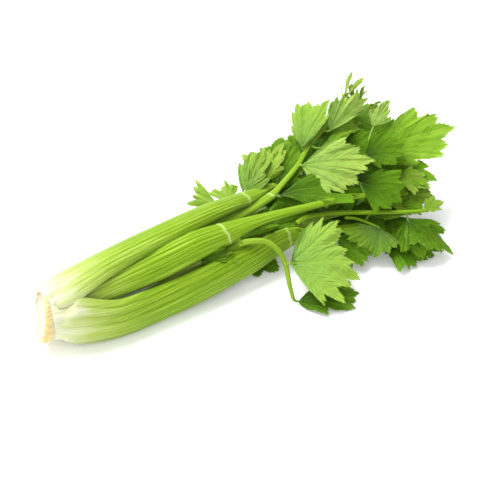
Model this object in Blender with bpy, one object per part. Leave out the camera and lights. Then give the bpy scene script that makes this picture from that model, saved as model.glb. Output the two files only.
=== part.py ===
"""A head of celery lying on its side: a cut butt, stalks that run on into their leaf stems, side stems,
and leaflets.

Frame: +X runs along the bunch from the butt to the leaves, +Y is across it, +Z is up, and z = 0 is the
surface that the bunch lies on. The tables below are in millimetres, and MM turns them into metres.
"""

import math
from typing import NamedTuple

import bmesh
import bpy
import numpy as np

MM = 0.001

# The middle of the bunch's footprint in the tables' own coordinates: it becomes the origin.
FOOTPRINT_MIDDLE = np.array([215.4, 8.7, 0.0])

# Butt: the crown that every stalk grows from, cut across at a slant.
CUT_RADIUS = 20.5
RIM_RADIUS = 23.5
RIM_DEPTH = 8.0
CROWN_RADIUS = 15.3
CROWN_LENGTH = 30.0
CUT_SLANT = (0.24, 0.10)
BUTT_CENTRE_YZ = (-1.0, 31.0)
BUTT_STEPS = 28

# Stems
POINTS_AROUND = 14
RING_SPACING = 17.0
EDGE_ROUNDNESS = 2.4

# Leaflets
LEAF_THICKNESS = 0.8
LEAF_REACH = {0: 1.0, 19: 0.70, 38: 0.84, 53: 0.52, 63: 0.56, 78: 0.2}
LEAF_RINGS = (0.55, 1.0)


class Stem(NamedTuple):
    """A stalk with its rachis, or a side stem.

    path is the line through the outermost middle of the cross-section. facing is the way in Y and Z that
    its convex back faces, at the start and at the end. sizes are (path point, width, half angle of the
    cross-section's arc in degrees, thickness).
    """

    name: str
    path: tuple
    facing: tuple
    sizes: tuple


class Leaf(NamedTuple):
    """One leaflet. base and tip end its midrib, and up is the way its upper face looks.

    width is measured against the length, arch lifts the middle of the midrib, fold raises both halves from
    the midrib (1 is 45 degrees), and cup drops the margins.
    """

    name: str
    base: tuple
    tip: tuple
    up: tuple
    width: float = 1.0
    arch: float = 0.08
    fold: float = 0.12
    cup: float = 0.15

STALKS = (
    Stem(
        "stalk_top",
        ((10, 5.2, 50.5), (22, 5, 56), (60, 8.5, 61), (110, 15, 63.5), (170, 26, 61.5), (226, 38, 53.5),
         (255, 43, 51), (290, 43, 50), (325, 36, 53), (350, 22, 61)),
        ((0.31, 0.95), (0.1, 1.0)),
        ((0, 33, 53, 6), (1, 42, 54, 8), (2, 36, 54, 9), (3, 27, 50, 10), (4, 22, 46, 10), (5, 17, 40, 9),
         (6, 8, 20, 6.5), (9, 4, 5, 3.5)),
    ),
    Stem(
        "stalk_middle",
        ((22, -11, 41), (40, -12, 44.5), (75, -12.5, 49), (110, -12, 52.5), (145, -8.5, 55.5),
         (176, -5, 55), (213, -4, 56), (252, -10, 58), (297, -17, 60), (325, -20, 61)),
        ((-0.62, 0.79), (-0.5, 0.87)),
        ((0, 19, 50, 5), (2, 22, 50, 8), (3, 24, 50, 9), (4, 22, 46, 9.5), (5, 17, 40, 9.5), (6, 10, 25, 7.5),
         (7, 7, 15, 6), (9, 4, 5, 3.5)),
    ),
    Stem(
        "stalk_front",
        ((10, -21, 26.2), (22, -28.5, 23.5), (60, -32, 19), (110, -28.5, 20), (150, -26, 23.5),
         (197, -19, 27), (240, -9.5, 29), (263, -13, 28), (287, -18, 27), (313, -22, 25), (330, -24, 22)),
        ((-0.96, -0.28), (-0.8, 0.6)),
        ((0, 33, 54, 6), (1, 46, 57, 8), (2, 39, 54, 10), (3, 34, 50, 11), (4, 31, 48, 11), (5, 26, 44, 10.5),
         (6, 18, 38, 9), (7, 8, 20, 6.5), (10, 4, 5, 3.5)),
    ),
    Stem(
        "stalk_under",
        ((10, 4.6, 11.4), (22, 4.6, 6.8), (60, 4.5, 3.6), (110, 4.5, 3.7), (160, 7, 5.6), (212, 13, 8),
         (245, 19, 10), (290, 28, 11), (322, 36, 9)),
        ((0.28, -0.96), (0.26, -0.97)),
        ((0, 19, 31, 6), (1, 25, 32, 8), (3, 23, 46, 9), (5, 15, 38, 8.5), (6, 7, 20, 6), (8, 4, 5, 3.5)),
    ),
    Stem(
        "stalk_rear",
        ((10, 18.4, 26), (22, 21.8, 26.5), (60, 25.5, 29), (110, 28, 29), (170, 35, 25), (225, 45, 20),
         (255, 53, 17), (300, 65, 12), (338, 72, 9)),
        ((0.97, -0.26), (0.8, 0.6)),
        ((0, 16, 26, 6), (1, 21, 27, 8), (3, 22, 46, 9), (5, 15, 38, 8.5), (6, 7, 20, 6), (8, 4, 5, 3.5)),
    ),
    Stem(
        "stalk_inner_front",
        ((22, -7, 19.5), (50, -7.5, 18.5), (110, -6, 18), (165, -3, 21), (215, 3, 25), (245, 4, 27),
         (285, 2, 28), (320, 0, 26)),
        ((-0.34, -0.94), (-0.5, 0.8)),
        ((0, 17, 45, 4.5), (2, 17, 45, 7), (4, 13, 38, 7.5), (5, 6, 20, 5.5), (7, 3.5, 5, 3)),
    ),
    Stem(
        "stalk_inner_rear",
        ((22, 10, 33.5), (50, 11, 34), (110, 15, 34), (170, 24, 36), (222, 38, 38), (250, 50, 39),
         (280, 63, 39), (310, 73, 40)),
        ((0.98, 0.17), (0.9, 0.5)),
        ((0, 17, 45, 4.5), (2, 16, 45, 6.5), (4, 12, 38, 7), (5, 6, 20, 5.5), (7, 3.5, 5, 3)),
    ),
    Stem(
        "stalk_thin",
        ((36, 1, 38), (80, 2, 42.5), (130, 5, 47), (184, 15, 49.5), (216, 22, 49), (244, 28, 52), (256, 31, 57),
         (281, 40, 68), (303, 54, 76), (334, 63, 89), (350, 68, 97)),
        ((0.2, 0.98), (-0.3, 0.95)),
        ((0, 6, 20, 5), (2, 9, 30, 6.5), (4, 8.5, 30, 6.5), (5, 8, 25, 6.5), (6, 5.5, 10, 5), (10, 3.2, 5, 2.8)),
    ),
    Stem(
        "heart_stalk_pale",
        ((36, -5.5, 30.5), (80, -7, 31.5), (115, -8.5, 34.5), (142, -9, 37)),
        ((-0.9, 0.3), (-0.8, 0.5)),
        ((0, 5.5, 20, 4.5), (2, 6.5, 25, 5), (3, 4, 5, 3)),
    ),
    Stem(
        "heart_stalk_short",
        ((36, 3, 27), (80, 3, 27), (120, 4, 29), (150, 6, 31)),
        ((0.5, -0.8), (0.5, -0.8)),
        ((0, 5.5, 20, 4.5), (2, 6, 20, 5), (3, 3.5, 5, 3)),
    ),
    Stem(
        "side_stem_middle",
        ((185, -13.5, 45), (195, -16, 46), (209, -21, 44), (217, -29, 37), (220, -38, 26), (216, -52, 14),
         (214, -62, 5)),
        ((-0.5, 0.8), (-0.8, 0.4)),
        ((0, 6, 10, 5), (3, 5, 5, 4.5), (6, 3.5, 5, 3)),
    ),
    Stem(
        "side_stem_front",
        ((253, -4, 38), (262, -3, 39.5), (275, -5, 40), (297, -15, 41), (345, -43, 42), (368, -53, 42)),
        ((-0.4, 0.9), (-0.4, 0.9)),
        ((0, 4.5, 10, 4), (3, 4.5, 5, 4), (5, 3.2, 5, 3)),
    ),
    Stem(
        "side_twig_front",
        ((297, -18.6, 37.6), (307, -24, 36), (320, -37, 31)),
        ((-0.4, 0.9), (-0.4, 0.9)),
        ((0, 2.8, 5, 2.6), (2, 2.4, 5, 2.2)),
    ),
)

LEAVES = (
    # Thin stalk: the crown of leaves that stands highest.
    Leaf("leaflet_crown_right", (283, 36, 69.5), (337, -2, 78), (-0.35, -0.5, 0.8), 0.85),
    Leaf("leaflet_crown_edge", (308, 45, 76), (366, 44, 82), (-0.2, 0.1, 0.97), 0.42),
    Leaf("leaflet_crown_tip", (324, 52, 87), (374, 58, 104), (-0.5, -0.6, 0.6), 0.75, fold=0.3),
    Leaf("leaflet_crown_fold", (318, 68, 76), (362, 86, 78), (-0.3, -0.2, 0.9), 0.6),
    Leaf("leaflet_crown_left", (293, 52, 77), (320, 89, 99), (-0.5, -0.4, 0.75), 0.85),
    Leaf("leaflet_crown_back", (353, 72, 100), (382, 96, 114), (-0.6, -0.3, 0.7), 0.6),
    # Top stalk
    Leaf("leaflet_top_left", (246, 49, 55), (260, 80, 70), (-0.4, -0.5, 0.75), 0.8),
    Leaf("leaflet_top_left_second", (268, 49, 54.5), (292, 86, 70), (-0.4, -0.45, 0.8), 0.85),
    Leaf("leaflet_top_back", (292, 49, 53), (332, 88, 58), (-0.2, -0.3, 0.9), 0.8),
    Leaf("leaflet_top_right", (252, 20, 61), (316, -12, 71), (-0.3, -0.15, 0.95), 0.6),
    Leaf("leaflet_top_upper", (330, 43, 57), (402, 90, 74), (-0.3, -0.3, 0.9), 0.7),
    Leaf("leaflet_top_end", (354, 22, 65), (436, 7, 80), (-0.35, -0.31, 0.88), 0.95),
    Leaf("leaflet_top_lower", (354, 14, 57), (390, -28, 56), (-0.2, -0.3, 0.93), 0.8),
    Leaf("leaflet_top_curl", (368, 50, 86), (398, 66, 103), (-0.6, -0.3, 0.7), 0.5),
    # Middle stalk
    Leaf("leaflet_middle_end", (329, -22, 59), (362, -38, 50), (-0.35, -0.5, 0.8), 0.8),
    Leaf("leaflet_middle_right", (322, -12, 46), (374, -22, 40), (-0.2, -0.3, 0.93), 0.6),
    Leaf("leaflet_side_front", (224, -41, 27), (276, -70, 24), (-0.25, -0.3, 0.92), 1.15),
    Leaf("leaflet_side_ground", (217, -66, 3), (266, -88, 0.4), (-0.05, -0.1, 1.0), 0.8),
    # Front stalk
    Leaf("leaflet_front_near", (284, -24, 23), (306, -56, 8), (-0.3, -0.4, 0.87), 0.85),
    Leaf("leaflet_front_hanging", (322, -40, 30), (303, -57, 12), (-0.3, -0.6, 0.6), 1.2),
    Leaf("leaflet_front_corner", (348, -48, 37), (384, -81, 8), (0.1, -0.6, 0.8), 0.65),
    Leaf("leaflet_front_ground", (331, -40, 16), (362, -76, 0.4), (-0.1, -0.3, 0.95), 0.9),
    Leaf("leaflet_front_tip", (370, -54, 42.5), (394, -46, 44), (-0.1, -0.3, 0.95), 0.8),
    Leaf("leaflet_front_small", (322, -24, 35.5), (366, -30, 36), (-0.1, -0.3, 0.95), 0.5, arch=0.02),
    # Stalk underneath, whose leaves lie low
    Leaf("leaflet_under_end", (325, 36, 8), (394, 38, 0.4), (0, 0, 1), 0.7),
    Leaf("leaflet_under_right", (279, 19, 6), (322, -12, 0.4), (0, 0.15, 1), 0.7),
    Leaf("leaflet_under_left", (286, 34, 6), (306, 66, 0.4), (0.1, 0, 1), 0.6),
    # Rear stalk
    Leaf("leaflet_rear_end", (341, 74, 8), (404, 100, 0.4), (0, 0, 1), 0.7),
    Leaf("leaflet_rear_left", (302, 72, 10), (328, 110, 0.4), (-0.1, 0.2, 1), 0.85),
    Leaf("leaflet_rear_first", (257, 60, 13), (272, 100, 0.4), (-0.1, 0.3, 1), 0.85),
    Leaf("leaflet_rear_right", (312, 62, 14), (362, 50, 20), (0, -0.1, 1), 0.8),
    # Inner rear stalk
    Leaf("leaflet_back_end", (313, 75, 40), (372, 102, 46), (-0.2, -0.1, 1), 0.85),
    Leaf("leaflet_back_left", (276, 66, 41), (288, 106, 40), (-0.2, -0.1, 1), 0.85),
    Leaf("leaflet_back_right", (293, 54, 31), (344, 44, 25), (-0.1, -0.1, 1), 0.7),
    Leaf("leaflet_back_pale", (200, 52, 43), (190, 80, 52), (-0.5, -0.4, 0.7), 0.7),
    Leaf("leaflet_back_pale_second", (212, 50, 44), (226, 72, 55), (-0.5, -0.4, 0.7), 0.7),
    # Inner front stalk
    Leaf("leaflet_inner_end", (323, 0, 26), (386, -12, 26), (-0.1, -0.1, 1), 0.85),
    Leaf("leaflet_inner_left", (288, 8, 31), (320, 32, 34), (-0.1, -0.1, 1), 0.8),
    # Heart
    Leaf("heart_leaflet_pale", (145, -9, 39), (170, -10, 43), (-0.3, -0.5, 0.8), 0.4),
    Leaf("heart_leaflet_short", (153, 6, 32), (178, 8, 34), (0, -0.2, 1), 0.6),
)


def smooth_path(knots, spacing):
    """Points about spacing apart on a smooth curve through the knots, and each one's place among the knots."""
    knots = np.array(knots, float)
    padded = np.vstack([2 * knots[0] - knots[1], knots, 2 * knots[-1] - knots[-2]])
    steps = np.linspace(0.0, 1.0, 20, endpoint=False)
    fine, place = [], []
    for i in range(len(knots) - 1):
        p0, p1, p2, p3 = padded[i : i + 4]
        for s in steps:
            fine.append(
                p1 + 0.5 * s * (p2 - p0 + s * (2 * p0 - 5 * p1 + 4 * p2 - p3 + s * (3 * (p1 - p2) + p3 - p0)))
            )
            place.append(i + s)
    fine = np.array(fine + [knots[-1]])
    place = np.array(place + [len(knots) - 1])
    along = np.concatenate([[0.0], np.cumsum(np.linalg.norm(np.diff(fine, axis=0), axis=1))])
    wanted = np.linspace(0.0, along[-1], max(4, round(along[-1] / spacing) + 1))
    points = np.stack([np.interp(wanted, along, fine[:, k]) for k in range(3)], axis=1)
    return points, np.interp(wanted, along, place)


def unit(vector):
    return vector / np.linalg.norm(vector)


def crescent(width, half_angle, thickness):
    """A closed cross-section, (outward, sideways) from the middle of its back: a band bent along an arc."""
    half = math.radians(half_angle)
    radius = width / (2 * math.sin(half))
    outline = []
    for k in range(POINTS_AROUND):
        turn = 2 * math.pi * k / POINTS_AROUND
        across = math.cos(turn)
        depth = (1 - abs(across) ** EDGE_ROUNDNESS) ** (1 / EDGE_ROUNDNESS) * thickness / 2
        reach = radius + math.copysign(depth, math.sin(turn))
        outline.append((reach * math.cos(half * across) - radius, reach * math.sin(half * across)))
    return outline


def add_object(name, bm, material):
    bmesh.ops.recalc_face_normals(bm, faces=bm.faces)
    mesh = bpy.data.meshes.new(name)
    bm.to_mesh(mesh)
    bm.free()
    mesh.materials.append(material)
    mesh.shade_smooth()
    mesh.set_sharp_from_angle(angle=math.radians(50))
    made = bpy.data.objects.new(name, mesh)
    bpy.context.scene.collection.objects.link(made)
    return made


def new_vertex(bm, point):
    return bm.verts.new((np.asarray(point) - FOOTPRINT_MIDDLE) * MM)


def add_stem(stem, material):
    points, places = smooth_path(stem.path, RING_SPACING)
    tangents = np.gradient(points, axis=0)
    at, widths, angles, depths = np.array(stem.sizes, float).T
    bm = bmesh.new()
    loops = []
    for i, (point, place) in enumerate(zip(points, places)):
        share = i / (len(points) - 1)
        facing = (1 - share) * np.array([0, *stem.facing[0]]) + share * np.array([0, *stem.facing[1]])
        tangent = unit(tangents[i])
        outward = unit(facing - tangent * (facing @ tangent))
        sideways = np.cross(tangent, outward)
        outline = crescent(
            np.interp(place, at, widths), np.interp(place, at, angles), np.interp(place, at, depths)
        )
        ring = []
        for out, side in outline:
            corner = point + outward * out + sideways * side
            corner[2] = max(corner[2], 0.0)
            ring.append(new_vertex(bm, corner))
        loops.append(ring)
    for near, far in zip(loops, loops[1:]):
        for k in range(POINTS_AROUND):
            after = (k + 1) % POINTS_AROUND
            bm.faces.new((near[k], near[after], far[after], far[k]))
    bm.faces.new(loops[0])
    bm.faces.new(loops[-1])
    return add_object(stem.name, bm, material)


def add_leaf(leaf, material):
    base, tip = np.array(leaf.base, float), np.array(leaf.tip, float)
    length = np.linalg.norm(tip - base)
    along = unit(tip - base)
    up = np.array(leaf.up, float)
    up = unit(up - along * (up @ along))
    across = np.cross(up, along)
    spokes = sorted([-angle for angle in LEAF_REACH if angle] + list(LEAF_REACH))

    def place(angle, ring):
        reach = ring * LEAF_REACH[abs(angle)]
        x = reach * math.cos(math.radians(angle))
        y = reach * math.sin(math.radians(angle)) * leaf.width
        height = leaf.arch * 4 * x * (1 - x) + leaf.fold * abs(y) - leaf.cup * y * y
        point = base + (along * x + across * y + up * height) * length
        return point

    def pair(point):
        lower = point - up * LEAF_THICKNESS / 2
        lower[2] = max(lower[2], 0.0)
        upper = point + up * LEAF_THICKNESS / 2
        upper[2] = max(upper[2], lower[2] + LEAF_THICKNESS * 0.8)
        return new_vertex(bm, lower), new_vertex(bm, upper)

    bm = bmesh.new()
    root = pair(base)
    rows = [[pair(place(angle, ring)) for angle in spokes] for ring in LEAF_RINGS]
    for side in (0, 1):
        for k in range(len(spokes) - 1):
            bm.faces.new((root[side], rows[0][k][side], rows[0][k + 1][side]))
            bm.faces.new((rows[0][k][side], rows[1][k][side], rows[1][k + 1][side], rows[0][k + 1][side]))
    rim = [root] + [row[0] for row in rows] + rows[-1][1:-1] + [row[-1] for row in reversed(rows)]
    for here, there in zip(rim, rim[1:] + rim[:1]):
        bm.faces.new((here[0], there[0], there[1], here[1]))
    return add_object(leaf.name, bm, material)


def add_butt(material):
    """The crown: a turned plug whose front is the slanting cut, and whose dome carries the inner stalks."""
    profile = (
        (0.6, 0.0), (0.0, CUT_RADIUS * 0.6), (0.0, CUT_RADIUS), (1.5, RIM_RADIUS - 0.8), (4.0, RIM_RADIUS),
        (RIM_DEPTH, RIM_RADIUS - 0.5), (RIM_DEPTH + 0.4, CROWN_RADIUS), (14.0, 14.5), (20.0, 10.2),
        (26.0, 6.0), (CROWN_LENGTH, 0.0),
    )
    bm = bmesh.new()
    rings = []
    for depth, radius in profile:
        slant = max(0.0, 1 - depth / RIM_DEPTH)
        steps = BUTT_STEPS if radius else 1
        ring = []
        for k in range(steps):
            turn = 2 * math.pi * k / steps
            y, z = radius * math.cos(turn), radius * math.sin(turn)
            lean = slant * (CUT_SLANT[0] * y + CUT_SLANT[1] * z)
            ring.append(new_vertex(bm, (depth + lean, BUTT_CENTRE_YZ[0] + y, BUTT_CENTRE_YZ[1] + z)))
        rings.append(ring)
    for near, far in zip(rings, rings[1:]):
        for k in range(BUTT_STEPS):
            after = (k + 1) % BUTT_STEPS
            corners = [near[k % len(near)], near[after % len(near)], far[after % len(far)], far[k % len(far)]]
            bm.faces.new(list(dict.fromkeys(corners)))
    return add_object("butt", bm, material)


def new_material(name, colour, roughness):
    material = bpy.data.materials.new(name)
    material.use_nodes = True
    shader = material.node_tree.nodes["Principled BSDF"]
    shader.inputs["Base Color"].default_value = (*colour, 1.0)
    shader.inputs["Roughness"].default_value = roughness
    shader.inputs["Metallic"].default_value = 0.0
    return material


def main():
    for old in list(bpy.data.objects):
        bpy.data.objects.remove(old)
    butt_flesh = new_material("butt_flesh", (0.80, 0.66, 0.42), 0.7)
    stalk_skin = new_material("stalk_skin", (0.42, 0.58, 0.13), 0.4)
    heart_skin = new_material("heart_skin", (0.72, 0.78, 0.40), 0.45)
    leaf_green = new_material("leaf_green", (0.13, 0.36, 0.04), 0.5)
    heart_green = new_material("heart_green", (0.50, 0.62, 0.16), 0.5)
    add_butt(butt_flesh)
    for stem in STALKS:
        add_stem(stem, heart_skin if stem.name.startswith("heart") else stalk_skin)
    for leaf in LEAVES:
        add_leaf(leaf, heart_green if leaf.name.startswith("heart") else leaf_green)


main()
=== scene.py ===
import math
from typing import NamedTuple

import bpy
import numpy as np
from mathutils import Matrix


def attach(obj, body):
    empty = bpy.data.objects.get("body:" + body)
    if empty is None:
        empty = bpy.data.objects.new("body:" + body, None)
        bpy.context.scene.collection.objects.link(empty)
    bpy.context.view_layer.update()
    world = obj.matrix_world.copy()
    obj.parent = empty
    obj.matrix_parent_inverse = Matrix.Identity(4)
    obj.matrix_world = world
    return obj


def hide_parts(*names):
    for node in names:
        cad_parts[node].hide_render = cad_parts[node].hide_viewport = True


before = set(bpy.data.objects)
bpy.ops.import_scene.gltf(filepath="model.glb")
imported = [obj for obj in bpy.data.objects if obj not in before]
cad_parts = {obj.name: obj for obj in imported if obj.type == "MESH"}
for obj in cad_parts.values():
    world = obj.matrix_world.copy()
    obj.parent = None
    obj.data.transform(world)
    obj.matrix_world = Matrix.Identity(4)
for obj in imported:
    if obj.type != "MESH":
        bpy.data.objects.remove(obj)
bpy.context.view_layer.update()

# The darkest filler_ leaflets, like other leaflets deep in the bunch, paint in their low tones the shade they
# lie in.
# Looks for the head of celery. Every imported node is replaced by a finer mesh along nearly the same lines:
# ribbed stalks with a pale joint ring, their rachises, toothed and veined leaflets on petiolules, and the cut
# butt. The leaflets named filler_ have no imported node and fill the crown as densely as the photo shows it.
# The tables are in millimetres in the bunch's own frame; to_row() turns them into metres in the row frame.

MM = 0.001
FOOTPRINT_MIDDLE = np.array([215.4, 8.7, 0.0])

# Camera of the photograph, in the bunch's own frame
CAMERA_AROUND = -30.0
CAMERA_UP = 37.0
CAMERA_DISTANCE = 1060.0
CAMERA_TARGET = (200.0, 0.0, 30.0)
CAMERA_LENS = 85.0
CAMERA_SENSOR = 36.0

# Studio, in metres
FLOOR_HALF = 1.3
LIGHT_TARGET = (0.0, 0.0, 0.03)
SKY_STRENGTH = 0.55

# Butt
BUTT_MIDDLE_YZ = (-1.0, 31.0)
BUTT_STEPS = 220
BUTT_SEED = 11
CUT_SLANT = (0.24, 0.23)
SLANT_DEPTH = 8.0

# Stems
STEM_SPACING = 2.0
BACK_POINTS = 104
INNER_POINTS = 30
EDGE_ROUNDNESS = 2.4
BUTT_STALK_X = 10.0
STALK_START = 3.6
BASE_REACH = (21.6, 23.0)
BASE_THINNING = 0.85
END_ROUNDING = 1.6
NO_RING = 1e6
RIB_HEIGHT = 1.05
FAR_RIB_HEIGHT = 0.5
COLLAR_HALF_WIDTH = 1.1
COLLAR_HEIGHT = 0.5
SECTION_EDGE = (0.74, 0.95)
# How far across the section the painted shade along each stalk edge reaches
PAINTED_EDGE_SHADE = (0.72, 0.95)
# Distances from the butt over which each of these comes in: ribs, grooves, painted shade along each stalk
# edge, and ripeness
RIBS_GROW = (5, 60)
GROOVES_GROW = (4, 34)
PAINTED_SHADE_GROWS = (30, 80)
RIPENING = (-2, 108)

# Twigs and the scale of the UV maps
TWIG_SIDEWAYS = (0.31, 0.2, 0.93)
TWIG_LIFT = 0.1
TWIG_UV_LENGTH = 60.0
TWIG_UV_GIRTH = 0.05
UV_LENGTH = 100.0

# Leaflets
BLADE_THICKNESS = 0.34
BLADE_RINGS = 26
EDGE_STEP = 0.55
TOOTH_LENGTH = 4.0
TOOTH_DEPTH = 3.4
TOOTH_TIP = 0.76
TOOTH_POINTS = 7
TOOTH_FADE = (0.25, 0.5)
NOTCH_DEPTH = 0.0038
USUAL_LENGTH = 60.0
LOBES = ((-63, 0.56), (-38, 0.84), (0, 1.0), (38, 0.84), (63, 0.56))
NARROW_LOBES = ((-60, 0.5), (-28, 0.8), (0, 1), (30, 0.7))
OUTER_ANGLE = 90.0
FOOT_REACH = 0.05
FOOT_ANGLE = 12
SHORT_LOBE = 0.7
VEIN_GAP = 26
VEIN_POINTS = 26
VEIN_END = 0.93
MIDRIB_RADIUS = 0.85
VEIN_RADIUS = 0.6
PETIOLULE_POINTS = 14
PETIOLULE_RADII = (1.5, 0.95)
QUILT_HEIGHT = 0.4
CUP = 0.15
PLEAT = 0.05
PUCKER = 0.01
ROLL = 0.02
SOFT_LANDING = 2.0
VEINS_ALONG = 10.0
VEIN_SLOPE = 1.5


class Stem(NamedTuple):
    """A stalk with its rachis, or a side stem.

    path is the line through the middle of the back, facing the way in Y and Z that the back faces at the
    start and the end, and sizes are (path point, width, half angle of the arc, thickness). ring is the path
    point of the joint ring, ribs the number of ridges, green how green the skin is beyond the butt, and the
    last, a pair, how much painted shade darkens each edge, where the stalks lie against each other.
    """

    name: str
    path: tuple
    facing: tuple
    sizes: tuple
    ring: float = -1.0
    ribs: int = 5
    green: float = 1.0
    edges: tuple = (0.3, 0.5)


class Leaf(NamedTuple):
    """One leaflet on a stem.

    base and tip end the midrib, up is the way the upper face looks, width is measured against the length,
    arch lifts the middle of the midrib, fold raises both halves, and curl bends the far part down. tone runs
    from deep green (0) to pale (1), ruffle is the waviness of the margin, deep is how deep the notches
    between lobes go, turned shows the paler underside on top, and lobes are (angle, reach) of the lobe tips
    around the base. tone is partly the leaflet's own green and partly painted shade, lowest for the leaflets
    that lie in shade deep in the bunch.
    """

    name: str
    stem: str
    base: tuple
    tip: tuple
    up: tuple
    width: float = 1.0
    arch: float = 0.08
    fold: float = 0.12
    tone: float = 0.4
    ruffle: float = 0.03
    curl: float = 0.0
    deep: float = 1.0
    turned: bool = False
    lobes: tuple = LOBES


STALKS = (
    Stem(
        "stalk_top",
        ((10, 5.2, 50.5), (22, 5, 56), (60, 8, 61), (110, 13, 64), (170, 23.5, 62.5), (226, 36.5, 54.2),
         (255, 43, 51), (290, 43, 50), (325, 36, 53), (350, 22, 61)),
        ((0.31, 0.95), (0.1, 1)),
        ((0, 39, 69, 6), (1, 47.4, 65, 8), (2, 38, 55, 9), (3, 30, 50, 10), (4, 26.5, 48, 10),
         (4.84, 19, 44, 9), (6, 8, 20, 6.5), (9, 4, 5, 3.5)),
        4.84, 14, 0.93, (0.2, 0.6),
    ),
    Stem(
        "stalk_middle",
        ((22, -11, 41), (40, -12, 45.5), (75, -12.5, 50.5), (110, -11.5, 54), (145, -8, 56.5),
         (176, -5, 55.5), (213, -4, 56), (252, -10, 58), (297, -17, 58.5), (325, -20, 55)),
        ((-0.62, 0.79), (-0.5, 0.87)),
        ((0, 19, 50, 5), (2, 24.5, 53, 8), (3, 26.5, 55, 9), (4, 24.5, 51, 9.5), (5, 19.5, 45, 9.5),
         (6, 10, 25, 7.5), (7, 7, 15, 6), (9, 4, 5, 3.5)),
        5, 9, 1, (0.9, 0.5),
    ),
    Stem(
        "stalk_front",
        ((10, -21, 26.2), (22, -28.5, 23.5), (60, -32, 19), (110, -28.5, 20), (150, -26, 23.5),
         (197, -19, 27), (240, -9.5, 29), (263, -13, 28), (287, -18, 27), (313, -22, 25), (330, -24, 22)),
        ((-0.96, -0.28), (-0.8, 0.6)),
        ((0, 39, 72, 6), (1, 53, 72, 8), (2, 40, 56, 10), (3, 34, 50, 11), (4, 31, 48, 11),
         (5, 26, 44, 10.5), (6, 18, 38, 9), (7, 8, 20, 6.5), (10, 4, 5, 3.5)),
        6, 10, 1, (0, 0.6),
    ),
    Stem(
        "stalk_under",
        ((10, 4.6, 11.4), (22, 4.6, 6.8), (60, 4.5, 3.6), (110, 4.5, 3.7), (160, 7, 5.6), (212, 13, 8),
         (245, 19, 10), (290, 28, 11), (322, 36, 9)),
        ((0.28, -0.96), (0.26, -0.97)),
        ((0, 19, 31, 6), (1, 25, 32, 8), (3, 23, 46, 9), (5, 15, 38, 8.5), (6, 7, 20, 6), (8, 4, 5, 3.5)),
        5, 8, 1,
    ),
    Stem(
        "stalk_rear",
        ((10, 18.4, 26), (22, 21.8, 26.5), (60, 25.5, 29), (110, 28, 29), (170, 35, 25), (225, 45, 20),
         (255, 53, 17), (300, 65, 12), (338, 72, 9)),
        ((0.97, -0.26), (0.8, 0.6)),
        ((0, 16, 26, 6), (1, 21, 27, 8), (3, 22, 46, 9), (5, 15, 38, 8.5), (6, 7, 20, 6), (8, 4, 5, 3.5)),
        5, 8, 1,
    ),
    Stem(
        "stalk_inner_front",
        ((22, -7, 19.5), (50, -7.5, 18.5), (110, -6, 20), (165, -3, 25), (215, 3, 28), (245, 4, 28),
         (285, 2, 28), (320, 0, 26)),
        ((-0.34, -0.94), (-0.5, 0.8)),
        ((0, 17, 45, 4.5), (2, 22, 50, 7), (4, 18, 42, 7.5), (5, 6, 20, 5.5), (7, 3.5, 5, 3)),
        4, 6, 0.75,
    ),
    Stem(
        "stalk_inner_rear",
        ((22, 10, 33.5), (50, 11, 34), (110, 15, 38), (170, 24, 41), (222, 38, 41), (250, 50, 39),
         (280, 63, 39), (310, 73, 40)),
        ((0.98, 0.17), (0.9, 0.5)),
        ((0, 17, 45, 4.5), (2, 24, 52, 7), (4, 18, 42, 7), (5, 6, 20, 5.5), (7, 3.5, 5, 3)),
        4, 6, 0.75,
    ),
    Stem(
        "stalk_thin",
        ((36, 1, 38), (80, 2, 42.5), (130, 5, 47), (184, 15, 49.5), (216, 22, 49), (244, 28, 52),
         (256, 31, 57), (281, 40, 68), (303, 54, 76), (334, 63, 89), (350, 68, 97)),
        ((0.2, 0.98), (-0.3, 0.95)),
        ((0, 6, 20, 5), (2, 9, 30, 6.5), (4, 8.5, 30, 6.5), (5, 8, 25, 6.5), (6, 5.5, 10, 5),
         (10, 3.2, 5, 2.8)),
        5, 4, 0.95,
    ),
    Stem(
        "heart_stalk_pale",
        ((36, -5.5, 30.5), (80, -7, 31.5), (118, -8.5, 34.5), (150, -10.5, 37)),
        ((-0.9, 0.3), (-0.8, 0.5)),
        ((0, 5.5, 20, 4.5), (2, 6.5, 25, 5), (3, 4, 5, 3)),
        -1, 4, 0.75,
    ),
    Stem(
        "heart_stalk_short",
        ((36, 3, 27), (80, 3, 27), (120, 2, 30), (158, -5, 34.5)),
        ((0.5, -0.8), (0.5, -0.8)),
        ((0, 5.5, 20, 4.5), (2, 6, 20, 5), (3, 3.5, 5, 3)),
        -1, 4, 0.4,
    ),
    Stem(
        "side_stem_middle",
        ((185, -13.5, 45), (195, -16, 46), (209, -21, 44), (217, -29, 37), (220, -38, 26), (216, -52, 14),
         (214, -62, 5)),
        ((-0.5, 0.8), (-0.8, 0.4)),
        ((0, 6, 10, 5), (3, 5, 5, 4.5), (6, 3.5, 5, 3)),
        -1, 4, 0.9,
    ),
    Stem(
        "side_stem_front",
        ((253, -4, 38), (262, -3, 39.5), (275, -5, 40), (297, -15, 41), (345, -43, 42), (368, -53, 42)),
        ((-0.4, 0.9), (-0.4, 0.9)),
        ((0, 4.5, 10, 4), (3, 4.5, 5, 4), (5, 3.2, 5, 3)),
        -1, 4, 1.05,
    ),
    Stem(
        "side_twig_front",
        ((297, -18.6, 37.6), (307, -24, 36), (320, -37, 31)),
        ((-0.4, 0.9), (-0.4, 0.9)),
        ((0, 2.8, 5, 2.6), (2, 2.4, 5, 2.2)),
        -1, 3, 1,
    ),
)

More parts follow.
